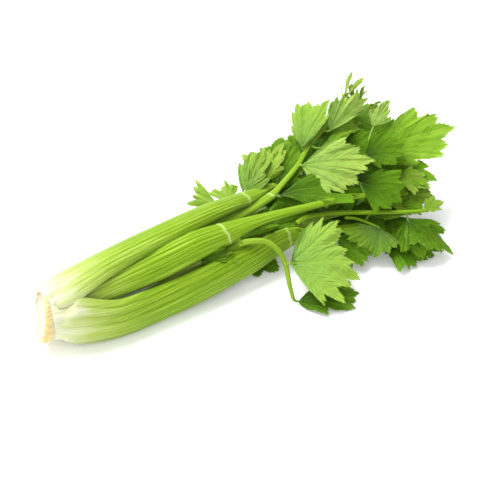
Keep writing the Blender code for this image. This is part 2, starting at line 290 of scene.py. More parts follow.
LEAVES = (
    # Thin stalk: the crown of leaves that stands highest
    Leaf("leaflet_crown_right", "stalk_thin", (283, 36, 69.5), (337, -2, 78), (-0.35, -0.5, 0.8), 0.85,
         tone=0.76, turned=True,
         lobes=((-56, 0.66), (-44, 0.8), (-26, 0.85), (-11, 0.92), (0, 1), (15, 0.84), (33, 0.73))),
    Leaf("leaflet_crown_edge", "stalk_thin", (308, 45, 76), (366, 44, 82), (-0.2, 0.1, 0.97), 0.42,
         tone=0.46, lobes=((-62, 0.46), (-30, 0.64), (-4, 0.84), (22, 1.12), (32, 0.7))),
    Leaf("leaflet_crown_tip", "stalk_thin", (324, 52, 87), (374, 58, 104), (-0.5, -0.6, 0.6), 0.75,
         fold=0.3, tone=0.82, turned=True,
         lobes=((-12, 0.56), (-5, 0.78), (3, 0.98), (17, 0.86), (33, 0.7), (50, 0.64))),
    Leaf("leaflet_crown_fold", "stalk_thin", (319, 63, 73), (374, 74, 83), (-0.3, -0.2, 0.9), 0.7,
         tone=0.26, lobes=((-58, 0.6), (-28, 0.84), (0, 1), (24, 0.86), (50, 0.5))),
    Leaf("leaflet_crown_left", "stalk_thin", (293, 52, 77), (320, 89, 99), (-0.5, -0.4, 0.75), 0.85,
         tone=0.54, turned=True,
         lobes=((-44, 0.82), (-29, 1.12), (-17, 0.97), (-2, 1.05), (12, 0.94), (21, 0.82), (31, 0.54))),
    Leaf("leaflet_crown_back", "stalk_thin", (353, 72, 100), (382, 96, 114), (-0.6, -0.3, 0.7), 0.6,
         ruffle=0.07, tone=0.88, deep=6, lobes=((-66, 0.62), (-30, 0.95), (8, 1), (34, 0.5))),
    # Top stalk
    Leaf("leaflet_top_left", "stalk_top", (246, 49, 55), (260, 80, 70), (-0.4, -0.5, 0.75), 0.8,
         ruffle=0.05, tone=0.74, deep=1.3,
         lobes=((-72, 0.8), (-50, 1.18), (-37, 1.42), (-24, 0.95), (-13, 1), (13, 0.97), (31, 1),
          (47, 0.55))),
    Leaf("leaflet_top_left_second", "stalk_top", (268, 49, 54.5), (292, 86, 70), (-0.4, -0.45, 0.8), 0.85,
         tone=0.08),
    Leaf("leaflet_top_back", "stalk_top", (292, 49, 53), (332, 88, 58), (-0.2, -0.3, 0.9), 0.8, tone=0.06),
    Leaf("leaflet_top_right", "stalk_thin", (250, 20, 55), (325, -12, 55), (-0.3, -0.15, 0.95), 0.7,
         tone=0.07, arch=0.1, lobes=((-42, 0.62), (-27, 0.86), (-10, 0.94), (0, 1), (14, 0.9), (34, 0.8))),
    Leaf("leaflet_top_upper", "stalk_top", (330, 43, 57), (402, 90, 74), (-0.3, -0.3, 0.9), 0.7, tone=0.3),
    Leaf("leaflet_top_end", "stalk_top", (354, 22, 65), (436, 7, 80), (-0.35, -0.31, 0.88), 0.95, tone=0.47,
         lobes=((-46, 0.52), (-30, 0.78), (-15, 0.87), (0, 1.04), (11, 0.88), (30, 0.8), (38, 0.5))),
    Leaf("leaflet_top_lower", "stalk_top", (354, 14, 57), (390, -28, 56), (-0.2, -0.3, 0.93), 0.8,
         tone=0.22, lobes=((-45, 0.66), (-19, 0.95), (0, 1.06), (14, 0.87), (42, 0.55))),
    Leaf("leaflet_top_curl", "stalk_top", (363, 35, 88), (391, 50, 100), (-0.6, -0.3, 0.7), 0.75,
         ruffle=0.06, tone=0.84, turned=True, deep=1.5,
         lobes=((-50, 0.62), (-22, 0.8), (0, 1.05), (20, 0.75), (45, 0.6))),
    # Middle stalk
    Leaf("leaflet_middle_end", "stalk_middle", (321, -9, 63), (345, -38, 53), (-0.35, -0.5, 0.8), 0.9,
         tone=0, lobes=((-48, 0.84), (-24, 0.92), (0, 1.02), (20, 0.98), (44, 1), (60, 0.6))),
    Leaf("leaflet_middle_right", "stalk_middle", (322, -12, 46), (374, -22, 40), (-0.2, -0.3, 0.93), 0.7,
         tone=0.36),
    Leaf("leaflet_side_front", "side_stem_middle", (224, -41, 27), (276, -70, 24), (-0.25, -0.3, 0.92),
         1.15, tone=0.6, ruffle=0.04, turned=True, deep=2.4,
         lobes=((-54, 0.78), (-40, 0.98), (-22, 0.93), (-11, 1.03), (1, 0.93), (12, 0.84), (30, 0.87),
          (39, 0.9), (52, 0.76), (62, 0.67))),
    Leaf("leaflet_side_ground", "side_stem_middle", (217, -66, 3), (266, -88, 0.4), (-0.05, -0.1, 1), 0.8,
         tone=0.14, lobes=((-49, 0.62), (-17, 0.93), (-2, 0.95), (11, 1.05), (27, 1.02), (45, 0.7))),
    # Front stalk
    Leaf("leaflet_front_near", "stalk_front", (284, -24, 23), (306, -56, 8), (-0.3, -0.4, 0.87), 0.85,
         tone=0.16, lobes=((-39, 0.8), (-21, 0.88), (-6, 0.86), (6, 0.87), (19, 0.84), (42, 0.7))),
    Leaf("leaflet_front_hanging", "side_twig_front", (322, -40, 30), (303, -57, 12), (-0.3, -0.6, 0.6), 1.2,
         tone=0.24, turned=True,
         lobes=((-82, 0.52), (-63, 1.02), (-45, 0.92), (-28, 0.83), (5, 0.9), (27, 0.76), (44, 0.66),
          (61, 0.72))),
    Leaf("leaflet_front_corner", "side_stem_front", (348, -48, 37), (384, -81, 8), (0.1, -0.6, 0.8), 0.65,
         tone=0.2, lobes=((-80, 0.74), (-52, 0.78), (-30, 0.82), (-7, 0.96), (12, 0.62), (28, 0.55))),
    Leaf("leaflet_front_ground", "stalk_front", (331, -40, 16), (362, -76, 0.4), (-0.1, -0.3, 0.95), 0.9,
         tone=0.02,
         lobes=((-75, 0.44), (-58, 0.86), (-42, 0.82), (-30, 0.79), (-12, 0.84), (3, 0.94), (17, 1.12))),
    Leaf("leaflet_front_tip", "side_stem_front", (366, -49, 43), (385, -52, 44), (-0.1, -0.3, 0.95), 0.8,
         tone=0.72),
    Leaf("leaflet_front_small", "stalk_front", (322, -24, 35.5), (366, -30, 36), (-0.1, -0.3, 0.95), 0.5,
         arch=0.02, tone=0.4),
    # Stalk underneath, whose leaves lie low
    Leaf("leaflet_under_end", "stalk_under", (325, 36, 8), (394, 38, 0.4), (0, 0, 1), 0.7, tone=0.2),
    Leaf("leaflet_under_right", "stalk_under", (279, 19, 6), (322, -12, 0.4), (0, 0.15, 1), 0.7, tone=0.2),
    Leaf("leaflet_under_left", "stalk_under", (286, 34, 6), (306, 66, 0.4), (0.1, 0, 1), 0.6, tone=0.25),
    # Rear stalk
    Leaf("leaflet_rear_end", "stalk_rear", (341, 74, 8), (404, 100, 0.4), (0, 0, 1), 0.7, tone=0.3),
    Leaf("leaflet_rear_left", "stalk_rear", (302, 72, 10), (328, 110, 0.4), (-0.1, 0.2, 1), 0.85,
         tone=0.25),
    Leaf("leaflet_rear_first", "stalk_rear", (257, 60, 13), (272, 100, 0.4), (-0.1, 0.3, 1), 0.85,
         tone=0.3),
    Leaf("leaflet_rear_right", "stalk_rear", (312, 62, 14), (362, 50, 20), (0, -0.1, 1), 0.8, tone=0.2),
    # Inner rear stalk
    Leaf("leaflet_back_end", "stalk_inner_rear", (313, 75, 40), (372, 102, 46), (-0.2, -0.1, 1), 0.85,
         tone=0.35),
    Leaf("leaflet_back_left", "stalk_inner_rear", (276, 66, 41), (288, 106, 40), (-0.2, -0.1, 1), 0.85,
         tone=0.4),
    Leaf("leaflet_back_right", "stalk_inner_rear", (293, 54, 31), (344, 44, 25), (-0.1, -0.1, 1), 0.7,
         tone=0.15),
    Leaf("leaflet_back_pale", "stalk_inner_rear", (200, 52, 43), (190, 80, 52), (-0.5, -0.4, 0.7), 0.7,
         tone=0.9, ruffle=0.06, deep=1.4, lobes=((-15, 1.05), (6, 0.92), (28, 0.8), (48, 1.08))),
    Leaf("leaflet_back_pale_second", "stalk_inner_rear", (212, 50, 44), (226, 72, 55), (-0.5, -0.4, 0.7),
         0.7, tone=0.86, ruffle=0.06, lobes=((-38, 0.68), (-8, 0.64), (14, 0.76), (36, 0.72), (70, 1.08))),
    # Inner front stalk
    Leaf("leaflet_inner_end", "stalk_inner_front", (323, 0, 26), (386, -12, 26), (-0.1, -0.1, 1), 0.85,
         tone=0.2),
    Leaf("leaflet_inner_left", "stalk_inner_front", (288, 8, 31), (320, 32, 34), (-0.1, -0.1, 1), 0.8,
         tone=0.15),
    # Heart
    Leaf("heart_leaflet_pale", "heart_stalk_pale", (149, -12, 37), (178, -15, 43), (-0.3, -0.7, 0.65), 0.8,
         tone=0.3, ruffle=0.13, deep=2),
    Leaf("heart_leaflet_short", "heart_stalk_short", (160, -8, 36), (190, -14, 43), (-0.2, -0.6, 0.75), 0.9,
         tone=0.34, ruffle=0.12, deep=2),
    # Leaflets that fill the crown, beyond those of the imported solids; the darkest stand for leaves deep in
    # shade, and their low tones paint that shade
    Leaf("filler_end_lobe", "stalk_top", (339, 13, 76), (371, -6, 84), (-0.3, -0.3, 0.9), 0.95, tone=0.02,
         lobes=((-60, 0.6), (-34, 0.84), (-12, 0.95), (10, 1), (36, 0.88), (60, 0.62))),
    Leaf("filler_crown_shade", "stalk_top", (327, 33, 70), (364, 36, 78), (-0.3, -0.3, 0.9), 0.9,
         tone=0.02),
    Leaf("filler_right_small", "stalk_top", (362, -12, 59), (380, -36, 53), (-0.2, -0.4, 0.9), 0.8,
         tone=0.62),
    Leaf("filler_right_bright", "stalk_middle", (343, -18, 40), (386, -32, 38), (-0.2, -0.3, 0.92), 0.8,
         tone=0.48),
    Leaf("filler_first", "stalk_top", (224, 46, 54), (262, 72, 70), (-0.4, -0.5, 0.75), 0.62, tone=0.58,
         turned=True, lobes=((-46, 0.62), (-24, 0.88), (0, 1), (22, 0.92), (46, 0.66))),
    Leaf("filler_first_dark", "stalk_top", (258, 38, 52), (295, 60, 71), (-0.4, -0.4, 0.8), 0.7, tone=0.1),
    Leaf("filler_under_middle", "stalk_inner_front", (311, -7, 30), (350, -38, 20), (-0.2, -0.4, 0.9), 0.95,
         tone=0.03),
    Leaf("filler_under_front", "stalk_front", (333, -27, 26), (346, -60, 15), (-0.2, -0.4, 0.9), 0.95,
         tone=0.04),
    Leaf("filler_under_right", "stalk_inner_front", (330, -9, 42), (390, -30, 36), (-0.2, -0.3, 0.92), 0.75,
         tone=0.04),
    Leaf("filler_middle_right", "stalk_top", (326, 6, 58), (386, -10, 50), (-0.2, -0.3, 0.92), 0.75,
         tone=0.05),
    Leaf("filler_corner_left", "side_stem_front", (347, -50, 36), (345, -79, 12), (-0.3, -0.5, 0.8), 0.85,
         tone=0.12),
    Leaf("filler_crown_first", "stalk_thin", (360, 61, 94), (371, 88, 109), (-0.7, -0.3, 0.6), 0.5,
         tone=0.9, ruffle=0.09, deep=4, curl=0.5,
         lobes=((-70, 0.5), (-32, 0.75), (0, 1), (30, 0.7), (66, 0.5))),
    Leaf("filler_crown_second", "stalk_thin", (364, 66, 96), (386, 83, 106), (-0.6, -0.4, 0.6), 0.4,
         tone=0.62, ruffle=0.09, deep=4, curl=0.5, lobes=NARROW_LOBES),
    Leaf("filler_crown_third", "stalk_thin", (369, 57, 91), (389, 60, 99), (-0.5, -0.4, 0.7), 0.5, tone=0.8,
         ruffle=0.08, deep=3, curl=0.4, lobes=NARROW_LOBES),
    Leaf("filler_between_first", "stalk_inner_front", (188, 6, 33), (236, 2, 38), (-0.2, -0.5, 0.85), 0.55,
         tone=0.14, ruffle=0.08, deep=2),
    Leaf("filler_between_second", "stalk_inner_front", (216, 10, 30), (270, 8, 36), (-0.2, -0.5, 0.85), 0.6,
         tone=0.1, ruffle=0.05),
    Leaf("filler_between_third", "stalk_under", (258, 27, 21), (318, 20, 24), (-0.2, -0.4, 0.9), 0.8,
         tone=0.06),
    Leaf("filler_between_fourth", "stalk_under", (284, 36, 18), (340, 40, 20), (-0.2, -0.3, 0.92), 0.8,
         tone=0.06),
    Leaf("filler_behind", "stalk_inner_rear", (240, 52, 40), (282, 58, 45), (-0.3, -0.4, 0.87), 0.8,
         tone=0.16),
    Leaf("filler_low", "stalk_under", (210, 12, 4), (226, -16, 0.6), (-0.1, -0.1, 1), 1.1, tone=0.12),
    Leaf("filler_gap", "stalk_top", (226, 40, 54), (254, 56, 62), (-0.4, -0.5, 0.75), 0.6, tone=0.5,
         turned=True),
    Leaf("filler_gap_low", "stalk_under", (286, 16, 12), (344, 12, 15), (-0.2, -0.3, 0.92), 0.9, tone=0.05),
    Leaf("filler_gap_back", "stalk_inner_rear", (242, 44, 36), (304, 50, 40), (-0.3, -0.4, 0.87), 0.9,
         tone=0.1),
)
# ---- Small helpers ----


def unit(vector):
    return vector / np.linalg.norm(vector)


def to_row(points):
    """Millimetres in the bunch's own frame to metres in the row frame."""
    return (np.asarray(points, float) - FOOTPRINT_MIDDLE) * MM


def soft_step(low, high, value):
    t = np.clip((np.asarray(value, float) - low) / (high - low), 0.0, 1.0)
    return t * t * (3 - 2 * t)


def seed_of(name):
    return sum((i + 1) * ord(letter) for i, letter in enumerate(name))


def distances_along(points):
    return np.concatenate([[0.0], np.cumsum(np.linalg.norm(np.diff(points, axis=0), axis=1))])


def resampled(points, along, wanted):
    """The points at the wanted distances along their line."""
    return np.stack([np.interp(wanted, along, column) for column in points.T], axis=1)


def smooth_path(knots, spacing):
    """Points about spacing apart on a smooth curve through the knots, their places among the knots, and how
    far along they lie."""
    knots = np.array(knots, float)
    padded = np.vstack([2 * knots[0] - knots[1], knots, 2 * knots[-1] - knots[-2]])
    fine, place = [], []
    for i in range(len(knots) - 1):
        p0, p1, p2, p3 = padded[i : i + 4]
        for s in np.linspace(0.0, 1.0, 20, endpoint=False):
            bend = 2 * p0 - 5 * p1 + 4 * p2 - p3 + s * (3 * (p1 - p2) + p3 - p0)
            fine.append(p1 + 0.5 * s * (p2 - p0 + s * bend))
            place.append(i + s)
    fine = np.array(fine + [knots[-1]])
    place.append(len(knots) - 1)
    along = distances_along(fine)
    wanted = np.linspace(0.0, along[-1], max(4, round(along[-1] / spacing) + 1))
    return resampled(fine, along, wanted), np.interp(wanted, along, place), wanted


class Parts:
    """Grows one mesh out of several patches, with a UV map and float attributes on the points."""

    def __init__(self, *marks):
        self.points = []
        self.faces = []
        self.uv = []
        self.marks = {mark: [] for mark in marks}
        self.count = 0

    def add(self, points, faces, u, v, **marks):
        """Points may be a list or a grid; u, v and marks are values that stretch to its shape."""
        shape = np.shape(points)[:-1]
        self.points.append(np.reshape(points, (-1, 3)))
        self.faces.extend([tuple(int(k) + self.count for k in face) for face in faces])
        self.uv.append(np.stack([np.broadcast_to(axis, shape).ravel() for axis in (u, v)], axis=1))
        for mark, values in self.marks.items():
            values.append(np.broadcast_to(np.asarray(marks.get(mark, 0.0), float), shape).ravel())
        self.count += len(self.points[-1])

    def build(self, name, uv_name, material, packed=True):
        """Makes the object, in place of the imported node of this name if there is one."""
        mesh = bpy.data.meshes.new(name)
        mesh.from_pydata(to_row(np.vstack(self.points)).tolist(), [], self.faces)
        corners = np.empty(len(mesh.loops), np.int32)
        mesh.loops.foreach_get("vertex_index", corners)
        layer = mesh.uv_layers.new(name=uv_name)
        layer.data.foreach_set("uv", np.vstack(self.uv)[corners].astype(np.float32).ravel())
        for mark, values in self.marks.items():
            attribute = mesh.attributes.new(mark, "FLOAT", "POINT")
            attribute.data.foreach_set("value", np.concatenate(values).astype(np.float32))
        mesh.materials.append(material)
        mesh.shade_smooth()
        made = bpy.data.objects.new(name + "_look", mesh)
        bpy.context.scene.collection.objects.link(made)
        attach(made, "root")
        if packed:
            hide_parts(name)


def grid_faces(rows, columns):
    """Quads over points stored row by row."""
    starts = [i * columns + k for i in range(rows - 1) for k in range(columns - 1)]
    return [(start, start + 1, start + columns + 1, start + columns) for start in starts]


def tube_faces(rows, columns):
    """Quads over rings stored one after another, and a cap at each end."""
    faces = []
    for i in range(0, (rows - 1) * columns, columns):
        for k in range(columns):
            after = (k + 1) % columns
            faces.append((i + k, i + after, i + columns + after, i + columns + k))
    last = (rows - 1) * columns
    return faces + [tuple(reversed(range(columns))), tuple(range(last, last + columns))]


def tube(parts, points, radii, steps, **marks):
    """A round twig along points, closed at both ends."""
    turns = 2 * np.pi * np.arange(steps) / steps
    rings = []
    for point, tangent, radius in zip(points, np.gradient(points, axis=0), radii):
        tangent = unit(tangent)
        side = unit(np.cross(tangent, TWIG_SIDEWAYS))
        other = np.cross(tangent, side)
        rings.append(point + radius * (np.outer(np.cos(turns), side) + np.outer(np.sin(turns), other)))
    rings = np.array(rings)
    rings[..., 2] = np.maximum(rings[..., 2], TWIG_LIFT)
    along = np.linspace(0.0, distances_along(points)[-1] / TWIG_UV_LENGTH, len(points))[:, None]
    around = np.arange(steps) / steps * TWIG_UV_GIRTH
    parts.add(rings, tube_faces(len(points), steps), along, around, **marks)


# ---- Stems ----


def section_samples():
    """Places across the section, -1 to 1, round it once: the convex back first, then the hollow side."""
    back_turn = np.linspace(0.0, np.pi, BACK_POINTS, endpoint=False)
    inner_turn = np.linspace(np.pi, 2 * np.pi, INNER_POINTS, endpoint=False)
    evened = 1 - 2 * back_turn / np.pi
    back = 0.55 * evened + 0.45 * np.cos(back_turn)
    across = np.concatenate([back, np.cos(inner_turn)])
    return across, np.repeat([1.0, 0.0], [BACK_POINTS, INNER_POINTS])


def rib_profile(across, ribs, rng):
    """Ridges of uneven width with narrow grooves: their height, how deep in a groove, and ridge strength."""
    widths = rng.uniform(0.6, 1.5, ribs)
    bounds = np.concatenate([[0.0], np.cumsum(widths) / widths.sum()]) * 2 - 1
    which = np.clip(np.searchsorted(bounds, across, side="right") - 1, 0, ribs - 1)
    share = (across - bounds[which]) / (bounds[which + 1] - bounds[which])
    wave = np.clip(4 * share * (1 - share), 0, 1)
    strength = rng.uniform(0.45, 1.2, ribs)[which] * (0.55 + 0.45 * widths[which])
    edge = 1 - soft_step(*SECTION_EDGE, np.abs(across))
    height = (wave**0.45 - 0.6) * strength * edge
    # How deep in a groove, where the skin is painted darker: partly its own deeper green, partly painted
    # shade
    groove = np.clip(1 - wave / 0.36, 0, 1) ** 0.8 * edge * rng.uniform(0.35, 1.0, ribs)[which]
    return height, groove, (strength - 0.8) * edge * wave


def stem_line(stem):
    """The stem's path, sizes and the place of its ring. A stalk of the butt starts at its cut base."""
    path = list(stem.path)
    sizes = np.array(stem.sizes, float)
    if path[0][0] > BUTT_STALK_X:
        return path, sizes, stem.ring
    away = np.array(path[0][1:]) - BUTT_MIDDLE_YZ
    reach = np.linalg.norm(away)
    start, near = (BUTT_MIDDLE_YZ + away / reach * max(reach, least) for least in BASE_REACH)
    path[0] = (BUTT_STALK_X, *near)
    path.insert(0, (STALK_START, *start))
    sizes[:, 0] += 1
    cut = sizes[0] * (0.0, 1.0, 1.0, BASE_THINNING)
    return path, np.vstack([cut, sizes]), stem.ring + 1


def stem_stations(stem):
    """Where the sections stand, closer together at the ends and the ring.

    Returns their points, unit tangents, widths, half angles, thicknesses and distances along the stem, and
    the distance of the ring. A stem with no ring has it far beyond its end.
    """
    path, sizes, ring_place = stem_line(stem)
    points, places, travelled = smooth_path(path, STEM_SPACING)
    length = travelled[-1]
    extra = [0.25, 0.8, length - 0.8, length - 0.25]
    ring_at = NO_RING
    if stem.ring > 0:
        ring_at = float(np.interp(ring_place, places, travelled))
        extra += [ring_at + d for d in (-1.6, -1.1, -0.7, -0.3, 0.0, 0.3, 0.7, 1.1, 1.6)]
    travel = np.unique(np.concatenate([travelled, extra]))
    points = resampled(points, travelled, travel)
    tangents = np.gradient(points, travel, axis=0)
    tangents /= np.linalg.norm(tangents, axis=1, keepdims=True)
    width, half, thick = resampled(sizes[:, 1:], sizes[:, 0], np.interp(travel, travelled, places)).T
    return points, tangents, width, np.radians(half), thick, travel, ring_at


def stem_axes(stem, tangents, share):
    """Which way the back faces at each section, square to the stem, and the way across it."""
    start, end = (np.array([0.0, *facing]) for facing in stem.facing)
    facing = (1 - share) * start + share * end
    outward = facing - tangents * np.sum(facing * tangents, axis=1, keepdims=True)
    outward /= np.linalg.norm(outward, axis=1, keepdims=True)
    return outward, np.cross(tangents, outward)


def build_stem(stem, material):
    rng = np.random.default_rng(seed_of(stem.name))
    points, tangents, *measures, ring_at = stem_stations(stem)
    width, half, thick, travel = (measure[:, None] for measure in measures)
    length = travel[-1]
    across, is_back = section_samples()
    near_height, near_groove, near_band = rib_profile(across, stem.ribs, rng)
    far_height, far_groove, far_band = rib_profile(across, max(3, stem.ribs // 2), rng)
    sway = rng.uniform(0, 6, 4)

    past_ring = soft_step(ring_at - 1.0, ring_at + 3.0, travel)
    off_ring = 1 - 0.5 * np.exp(-(((travel - ring_at) / 9) ** 2))
    near_strength = RIB_HEIGHT * np.minimum(1, width / 26) * off_ring
    near_strength = near_strength * (0.45 + 0.55 * soft_step(*RIBS_GROW, travel))
    far_strength = FAR_RIB_HEIGHT * np.minimum(1, width / 12)
    ribs = near_height * near_strength * (1 - past_ring) + far_height * far_strength * past_ring
    wobble = 0.22 * np.sin(across * 3 + travel / 31 + sway[0])
    wobble = wobble + 0.16 * np.sin(across * 5 - travel / 19 + sway[1])
    ring_line = ring_at + 1.5 * across * np.sin(sway[2]) + 0.35 * np.sin(across * 9 + sway[3])
    collar = np.exp(-(((travel - ring_line) / COLLAR_HALF_WIDTH) ** 2))
    proud = is_back * (ribs + wobble * np.minimum(1, width / 25))
    proud = proud + COLLAR_HEIGHT * collar * np.minimum(1, width / 14)

    to_end = np.minimum(1, np.minimum(travel, length - travel) / END_ROUNDING)
    rounding = np.sqrt(1 - (1 - to_end) ** 2) * 0.55 + 0.45
    depth = (1 - np.abs(across) ** EDGE_ROUNDNESS) ** (1 / EDGE_ROUNDNESS) * thick / 2 * rounding
    radius = width / (2 * np.sin(half))
    reach = radius + np.where(is_back > 0, depth + proud, -depth - 0.5 * collar)
    out = reach * np.cos(half * across) - radius
    side = reach * np.sin(half * across)
    outward, sideways = stem_axes(stem, tangents, travel / length)
    sections = np.einsum("rc,rk->rck", out, outward) + np.einsum("rc,rk->rck", side, sideways)
    sections += points[:, None]
    sections[..., 2] = np.maximum(sections[..., 2], 0.0)

    x = points[:, :1]
    # Darker in the grooves: partly the skin's own deeper green, partly painted shade
    groove = (near_groove * (1 - past_ring) + 0.6 * far_groove * past_ring) * soft_step(*GROOVES_GROW, travel)
    # Painted shade along each edge, where the stalks lie against each other; it goes into the groove mark
    edge_shade_painted = np.where(across < 0, *stem.edges) * soft_step(*PAINTED_EDGE_SHADE, np.abs(across))
    groove = np.maximum(groove, edge_shade_painted * soft_step(*PAINTED_SHADE_GROWS, x))
    parts = Parts("groove", "collar", "inner", "ripe", "band")
    parts.add(
        sections,
        tube_faces(len(points), len(across)),
        across * width * 0.5 / UV_LENGTH + 2 * (1 - is_back),
        travel / UV_LENGTH,
        groove=groove * is_back,
        collar=collar,
        inner=1 - is_back,
        ripe=stem.green * (0.04 + 0.96 * soft_step(*RIPENING, x) ** 0.64),
        band=is_back * (near_band * (1 - past_ring) + far_band * past_ring),
    )
    parts.build(stem.name, "stem", material)


# ---- Leaflets ----


def main_veins(lobes):
    """The lobes that a main vein runs out to, well apart from each other, in order of angle."""
    kept = [min(lobes, key=lambda lobe: abs(lobe[0]))]
    for lobe in sorted(lobes, key=lambda lobe: -lobe[1]):
        if all(abs(lobe[0] - other[0]) >= VEIN_GAP for other in kept):
            kept.append(lobe)
    return sorted(kept)


def growth(length, least):
    """How a size grows with the leaflet: 1 at the usual length, and least at no length."""
    return least + (1 - least) * length / USUAL_LENGTH


def outline_corners(leaf, rng):
    """The (degrees, reach) of the outline's lobe tips, the notches between them and its two feet."""
    (first, first_reach), (last, last_reach) = leaf.lobes[0], leaf.lobes[-1]
    before = first - FOOT_ANGLE - 10 * first_reach * (first_reach < SHORT_LOBE)
    after = last + FOOT_ANGLE + 10 * last_reach * (last_reach < SHORT_LOBE)
    corners = [(max(-OUTER_ANGLE, before), FOOT_REACH)]
    for (angle, reach), (next_angle, next_reach) in zip(leaf.lobes, leaf.lobes[1:]):
        apart = next_angle - angle
        notch = leaf.deep * NOTCH_DEPTH * apart * rng.uniform(0.9, 1.15)
        corners.append((angle, reach))
        corners.append((angle + apart * reach / (reach + next_reach), min(reach, next_reach) * (1 - notch)))
    return corners + [(last, last_reach), (min(OUTER_ANGLE, after), FOOT_REACH)]


def toothed_side(leaf, length, near, far, rng):
    """The edge from one corner to the next: angles, plain reaches and toothed reaches."""
    fine = np.linspace(0, 1, 60)
    rising = far[1] > near[1]
    curve = 1 - (1 - fine) ** 1.15 if rising else fine**1.15
    if rising and near[1] < 0.1:
        curve = fine**0.9
    reach = near[1] + (far[1] - near[1]) * curve
    angle = np.radians(near[0] + (far[0] - near[0]) * fine)
    spots = np.stack([reach * np.cos(angle), reach * np.sin(angle) * leaf.width], axis=1) * length
    run = distances_along(spots)
    teeth = max(1, round(run[-1] / (TOOTH_LENGTH * growth(length, 0.55))))
    wanted = np.linspace(0, run[-1], max(TOOTH_POINTS * teeth, round(run[-1] / EDGE_STEP)), endpoint=False)
    reach, angle = np.interp(wanted, run, reach), np.interp(wanted, run, angle)
    uneven = np.concatenate([[0], rng.uniform(-0.18, 0.18, teeth - 1) / teeth, [0]])
    bounds = np.linspace(0, 1, teeth + 1) + uneven
    share = wanted / run[-1]
    which = np.clip(np.searchsorted(bounds, share, side="right") - 1, 0, teeth - 1)
    phase = (share - bounds[which]) / (bounds[which + 1] - bounds[which])
    phase = phase if rising else 1 - phase
    saw = np.where(phase < TOOTH_TIP, (phase / TOOTH_TIP) ** 1.3, (1 - phase) / (1 - TOOTH_TIP))
    height = rng.uniform(0.6, 1.25, teeth)[which] * soft_step(*TOOTH_FADE, reach)
    return angle, reach, reach + saw * height * TOOTH_DEPTH * growth(length, 0.4) / length


def outline_of(leaf, length, rng):
    """The star outline round the base: angles, plain reaches and toothed reaches."""
    corners = outline_corners(leaf, rng)
    sides = [toothed_side(leaf, length, near, far, rng) for near, far in zip(corners, corners[1:])]
    foot = (np.radians([corners[-1][0]]), [FOOT_REACH], [FOOT_REACH])
    return (np.concatenate(column) for column in zip(*sides, foot))


class Blade:
    """A leaflet's bent sheet: its outline, its main veins, and where a spot of its flat shape comes to lie.

    Spots are x along the midrib and y across it, against the length of the leaflet.
    """

    def __init__(self, leaf):
        rng = np.random.default_rng(seed_of(leaf.name))
        self.leaf = leaf
        self.base, tip, up = (np.array(place, float) for place in (leaf.base, leaf.tip, leaf.up))
        self.length = np.linalg.norm(tip - self.base)
        self.along = unit(tip - self.base)
        self.up = unit(up - self.along * (up @ self.along))
        self.sideways = np.cross(self.up, self.along)
        self.angles, self.plain, self.toothed = outline_of(leaf, self.length, rng)
        self.veins = [(math.radians(angle), reach) for angle, reach in main_veins(leaf.lobes)]
        self.middles = np.array([angle for angle, _ in self.veins])
        self.lobe = np.searchsorted((self.middles[1:] + self.middles[:-1]) / 2, self.angles)
        self.waves = rng.uniform(0, 2 * np.pi, 4)
        self.lobe_lift = rng.uniform(-0.05, 0.05, len(self.middles))

    def lift(self, x, y, angle, ring, lobe):
        """How far the blade stands off the plane of base, tip and sideways, against the length."""
        leaf, waves = self.leaf, self.waves
        shape = leaf.arch * 4 * x * (1 - x) + leaf.fold * np.abs(y) - CUP * y * y
        apart = angle - self.middles[lobe]
        reached = np.hypot(x, y)
        off_vein = np.abs(np.sin(apart)) * reached
        pucker = PUCKER * np.sin(23 * x + waves[1]) * np.sin(27 * y + waves[2]) * np.minimum(1, 2 * reached)
        rank = (reached * np.cos(apart) - VEIN_SLOPE * off_vein) * VEINS_ALONG + 0.5 * (apart > 0)
        quilt = QUILT_HEIGHT / self.length * np.abs(np.sin(np.pi * (rank - 0.5))) ** 0.7
        quilt = quilt * np.minimum(1, off_vein / 0.04)
        frill = sum(
            size * np.sin(often * angle + wave)
            for size, often, wave in zip((1, 0.6, 0.35), (9, 19, 37), waves)
        )
        roll = ROLL * np.sin(7 * x + waves[3]) * (1 + y)
        droop = leaf.curl * np.maximum(0.0, reached - 0.35) ** 2
        raised = PLEAT * off_vein + pucker + quilt + leaf.ruffle * ring**2.5 * frill + roll - droop
        return shape + raised + self.lobe_lift[lobe] * ring**2 * reached

    def lay(self, x, y, lift, side):
        """Points of the upper (side 1), middle (0) or lower (-1) sheet, kept above the surface."""
        spots = self.base + (np.outer(x, self.along) + np.outer(y, self.sideways)) * self.length
        spots = spots + np.outer(lift * self.length + side * BLADE_THICKNESS / 2, self.up)
        soft = 0.25 + (side + 1) * BLADE_THICKNESS / 2 + SOFT_LANDING
        z = spots[:, 2]
        landed = soft - SOFT_LANDING + SOFT_LANDING * np.exp((z - soft) / SOFT_LANDING)
        spots[:, 2] = np.where(z < soft, landed, z)
        return spots


